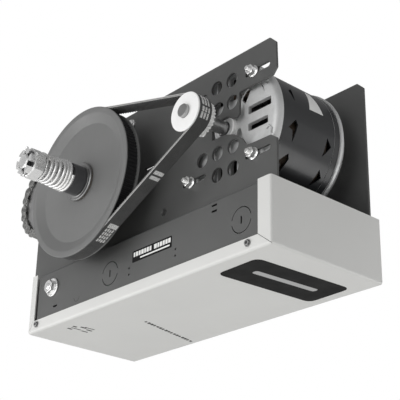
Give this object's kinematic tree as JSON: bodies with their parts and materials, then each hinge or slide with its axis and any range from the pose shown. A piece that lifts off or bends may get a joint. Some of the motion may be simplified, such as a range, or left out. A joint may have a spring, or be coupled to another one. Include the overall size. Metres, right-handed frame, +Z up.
{
  "type": "garage door opener",
  "caption": "Belt-and-chain door opener: motor and large clutch pulley between dark frame plates, over a control box closed by a white cover.",
  "frame": {"origin": "centre of the cover's underside", "axes": "+X along the control box towards the motor end, +Y from the belt side to the back, +Z up from the cover through the box to the plates"},
  "size_m": [0.4724, 0.305, 0.262],
  "materials": {
    "frame_paint": "dark grey powder coat, slightly textured",
    "cover_paint": "off-white semi-gloss paint on folded sheet",
    "pulley_paint": "mid grey satin paint on a cast pulley",
    "motor_paint": "black gloss enamel on rolled steel",
    "cast_aluminium": "bare die-cast, fine grain",
    "zinc": "bright zinc plate",
    "steel": "turned steel, light oil film",
    "bright_alloy": "turned aluminium, bright",
    "black_oxide": "black oxide",
    "lining": "fibre friction lining",
    "belt_rubber": "ribbed neoprene",
    "chain_steel": "oiled roller chain",
    "laminations": "stacked sheet, varnished",
    "copper": "winding wire under dark baked varnish",
    "board": "green solder mask over glass-fibre laminate",
    "black_plastic": "moulded",
    "grey_plastic": "moulded"
  },
  "bodies": {
    "frame": {"bottom_cover": "cover_paint", "control_box": "frame_paint", "cover_screw_left": "zinc", "cover_screw_right": "zinc", "box_bolt": "zinc", "near_plate": "frame_paint", "far_plate": "frame_paint", "tie_rod_upper": "zinc", "tie_rod_lower": "black_oxide", "motor_front_bell": "cast_aluminium", "motor_shell": "motor_paint", "motor_rear_bell": "cast_aluminium", "stator_core": "laminations", "stator_winding_front": "copper", "stator_winding_rear": "copper", "motor_bearing_front": "steel", "motor_bearing_rear": "steel", "motor_nut_lower_left": "zinc", "motor_nut_lower_right": "zinc", "motor_nut_upper_right": "zinc", "motor_nut_upper_left": "zinc", "clutch_bearing_near": "cast_aluminium", "clutch_bearing_far": "cast_aluminium", "output_bearing_near": "cast_aluminium", "output_bearing_far": "cast_aluminium", "drive_belt": "belt_rubber", "drive_chain": "chain_steel", "limit_chain": "chain_steel", "limit_bracket": "zinc", "limit_switch_close": "black_plastic", "limit_switch_open": "black_plastic", "logic_board": "board", "transformer": "laminations", "motor_contactor": "black_plastic", "terminal_block": "grey_plastic", "run_capacitor": "black_plastic"},
    "motor_rotor": {"motor_shaft": "steel", "rotor_core": "laminations", "motor_fan": "black_plastic", "motor_pulley": "bright_alloy"},
    "belt_pulley": {"driven_pulley": "pulley_paint"},
    "clutch_shaft_assembly": {"clutch_shaft": "steel", "clutch_friction_disc": "lining", "clutch_pressure_plate": "zinc", "clutch_collar": "black_oxide", "spring_seat_washer": "zinc", "clutch_back_disc": "lining", "clutch_back_flange": "steel", "clutch_spring": "zinc", "castle_nut": "zinc", "cotter_pin": "zinc", "pinion_sprocket": "steel"},
    "output_assembly": {"output_shaft": "steel", "driven_sprocket": "steel", "door_drive_sprocket": "steel", "limit_drive_sprocket": "steel"},
    "limit_gear": {"limit_shaft": "steel", "limit_sprocket": "steel"},
    "close_nut": {"limit_nut_close": "grey_plastic"},
    "open_nut": {"limit_nut_open": "grey_plastic"}
  },
  "joints": [
    {"name": "pulley_spin", "type": "hinge", "parent": "frame", "child": "belt_pulley", "pos_m": [-0.072, 0, 0.1575], "axis": [0, 1, 0], "continuous": true},
    {"name": "clutch_shaft_spin", "type": "hinge", "parent": "frame", "child": "clutch_shaft_assembly", "pos_m": [-0.072, 0, 0.1575], "axis": [0, 1, 0], "continuous": true},
    {"name": "motor_spin", "type": "hinge", "parent": "frame", "child": "motor_rotor", "pos_m": [0.1315, 0, 0.1755], "axis": [0, 1, 0], "continuous": true},
    {"name": "output_spin", "type": "hinge", "parent": "frame", "child": "output_assembly", "pos_m": [-0.19045, 0, 0.182], "axis": [0, 1, 0], "continuous": true},
    {"name": "limit_shaft_spin", "type": "hinge", "parent": "frame", "child": "limit_gear", "pos_m": [-0.165, 0, 0.038], "axis": [0, 1, 0], "continuous": true},
    {"name": "limit_nut_close_slide", "type": "slide", "parent": "frame", "child": "close_nut", "axis": [0, 1, 0], "range_m": [-0.026, 0.006]},
    {"name": "limit_nut_open_slide", "type": "slide", "parent": "frame", "child": "open_nut", "axis": [0, 1, 0], "range_m": [-0.006, 0.02]}
  ],
  "couplings": [
    {"joint": "clutch_shaft_spin", "follows": "pulley_spin", "ratio": 1},
    {"joint": "motor_spin", "follows": "pulley_spin", "ratio": 4.2857},
    {"joint": "output_spin", "follows": "pulley_spin", "ratio": 0.48},
    {"joint": "limit_shaft_spin", "follows": "pulley_spin", "ratio": 0.48}
  ]
}
